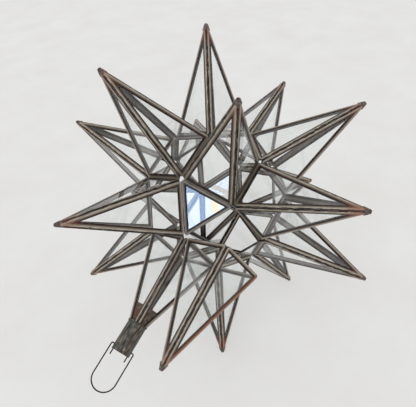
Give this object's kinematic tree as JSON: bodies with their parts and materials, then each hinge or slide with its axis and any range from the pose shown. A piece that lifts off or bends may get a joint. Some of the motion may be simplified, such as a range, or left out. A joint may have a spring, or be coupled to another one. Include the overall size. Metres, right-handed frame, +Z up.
{
  "type": "moravian star pendant",
  "caption": "Hollow glass star pendant of framed four-sided spikes and flat triangles, with a hinged spike as its door and a wire bail on a tubed neck.",
  "frame": {"origin": "the hang point: the underside of the bail's round top, on the axis of the tube and neck", "axes": "+Z up along the neck, away from the star; the front, -Y, is the side of the hinged door spike; +X is right"},
  "size_m": [0.4102, 0.4102, 0.4581],
  "materials": {
    "came": "folded sheet strip with a dark pewter patina",
    "solder": "dull dark solder",
    "glass": "clear flat glass",
    "plates": "sheet with a reddish brown patina",
    "cap": "dull grey rolled sheet",
    "wire": "dull drawn wire",
    "hinge": "rolled sheet with the strips' dark patina"
  },
  "bodies": {
    "star": {"bottom_came": "came", "bottom_ends": "solder", "bottom_glass": "glass", "bottom_ridge_solder": "solder", "cap_tube": "cap", "hinge_pin": "hinge", "lower_back_came": "came", "lower_back_glass": "glass", "lower_ends": "solder", "lower_facet_came": "came", "lower_facet_glass": "glass", "lower_front_came": "came", "lower_front_glass": "glass", "lower_left_came": "came", "lower_left_glass": "glass", "lower_ridge_solder": "solder", "lower_right_came": "came", "lower_right_glass": "glass", "middle_back_came": "came", "middle_back_glass": "glass", "middle_back_left_came": "came", "middle_back_left_glass": "glass", "middle_back_right_came": "came", "middle_back_right_glass": "glass", "middle_ends": "solder", "middle_front_came": "came", "middle_front_glass": "glass", "middle_front_left_came": "came", "middle_front_left_glass": "glass", "middle_front_right_came": "came", "middle_front_right_glass": "glass", "middle_left_came": "came", "middle_left_glass": "glass", "middle_ridge_solder": "solder", "middle_right_came": "came", "middle_right_glass": "glass", "neck_came": "came", "neck_collar": "cap", "neck_glass": "glass", "neck_hinge_leaves": "hinge", "neck_plates": "plates", "neck_solder": "solder", "upper_back_came": "came", "upper_back_glass": "glass", "upper_ends": "solder", "upper_facet_came": "came", "upper_facet_glass": "glass", "upper_left_came": "came", "upper_left_glass": "glass", "upper_ridge_solder": "solder", "upper_right_came": "came", "upper_right_glass": "glass"},
    "door": {"door_came": "came", "door_end": "solder", "door_glass": "glass", "door_hinge_leaf": "hinge", "door_ridge_solder": "solder"},
    "bail": {"bail": "wire"}
  },
  "joints": [
    {"name": "door_hinge", "type": "hinge", "parent": "star", "child": "door", "pos_m": [0, -0.03275, -0.17255], "axis": [-1, 0, 0], "range_deg": [-44, 24]},
    {"name": "bail_swing", "type": "hinge", "parent": "star", "child": "bail", "pos_m": [0, 0, -0.04718], "axis": [0.788, 0.6157, 0], "range_deg": [-28, 28]}
  ]
}
